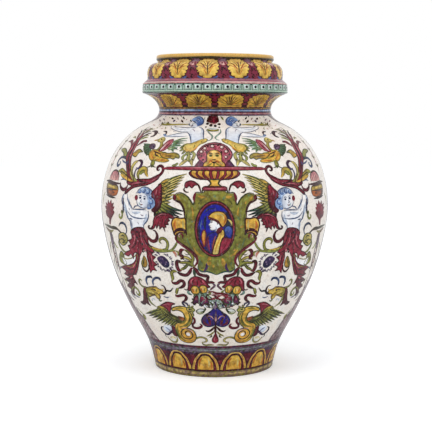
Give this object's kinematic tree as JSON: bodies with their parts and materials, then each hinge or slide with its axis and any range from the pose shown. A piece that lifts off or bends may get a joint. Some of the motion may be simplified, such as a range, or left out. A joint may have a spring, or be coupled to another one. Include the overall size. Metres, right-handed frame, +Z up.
{
  "type": "maiolica vase",
  "caption": "Tall shouldered earthenware vase with a narrow foot, hollow neck, banded collar and open mouth, tin-glazed and painted with grotesques.",
  "frame": {"origin": "centre of the foot ring's resting face, on the vase's axis", "axes": "+Z up along the vase's axis, towards the mouth; -Y towards the painted front with the medallion"},
  "size_m": [0.364, 0.364, 0.5],
  "materials": {
    "foot_glaze": "glossy olive-yellow glaze over earthenware, bare clay underneath",
    "body_glaze": "glossy creamy white tin glaze with painted grotesques",
    "neck_glaze": "glossy glaze with standing leaves on maroon",
    "band_glaze": "glossy pale sea-green glaze with a row of squares",
    "collar_glaze": "glossy maroon glaze with hanging acanthus leaves",
    "lip_glaze": "glossy ochre glaze, white inside"
  },
  "bodies": {
    "root": {"foot": "foot_glaze", "lower_body": "body_glaze", "shoulder": "body_glaze", "neck": "neck_glaze", "mouth_band": "band_glaze", "collar": "collar_glaze", "lip": "lip_glaze"}
  },
  "joints": []
}
